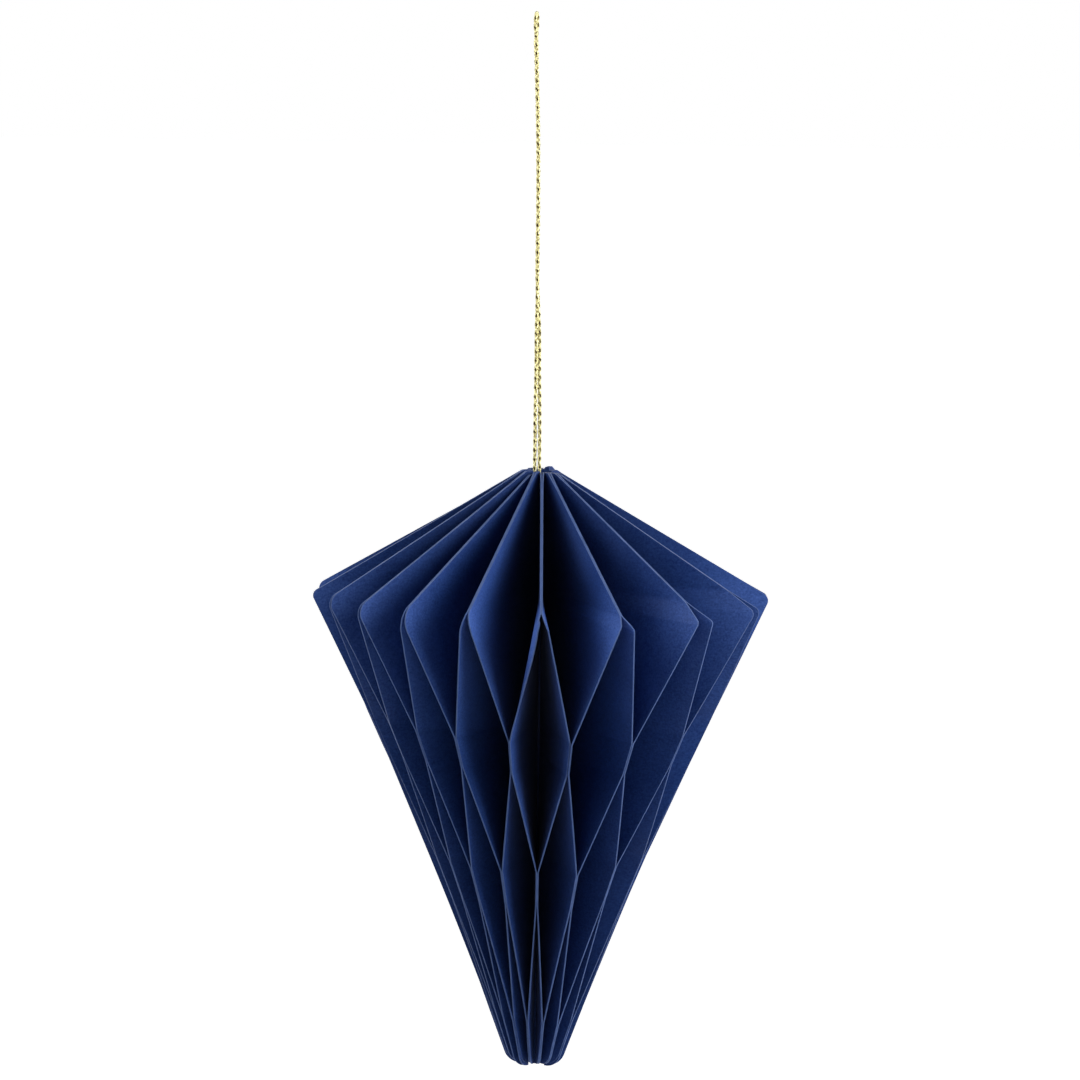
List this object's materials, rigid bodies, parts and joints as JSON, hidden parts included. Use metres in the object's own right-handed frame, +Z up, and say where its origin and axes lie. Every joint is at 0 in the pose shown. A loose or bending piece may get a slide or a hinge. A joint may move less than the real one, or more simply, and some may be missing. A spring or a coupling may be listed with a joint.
{
  "type": "hanging paper ornament",
  "caption": "Honeycomb paper ornament, a drop with a short cone over a long one, folded from glued dark blue sheets and hung on a loop of gold braided cord.",
  "frame": {"origin": "inside of the hanging loop's top, where a hook or twig carries the ornament", "axes": "+Z up along the body's axis, away from the tip; -Y towards the front, +X to the front's right"},
  "size_m": [0.0852, 0.0844, 0.1998],
  "materials": {
    "paper": "matte navy blue card with a fine fibre grain and paler cut edges",
    "metallic_cord": "braided gold metallic yarn, bright strands with dark gaps"
  },
  "bodies": {
    "root": {"sheet_01": "paper", "sheet_02": "paper", "sheet_03": "paper", "sheet_04": "paper", "sheet_05": "paper", "sheet_06": "paper", "sheet_07": "paper", "sheet_08": "paper", "sheet_09": "paper", "sheet_10": "paper", "sheet_11": "paper", "sheet_12": "paper", "sheet_13": "paper", "sheet_14": "paper", "sheet_15": "paper", "sheet_16": "paper", "sheet_17": "paper", "sheet_18": "paper", "hanging_cord": "metallic_cord", "cord_knot": "metallic_cord"}
  },
  "joints": []
}
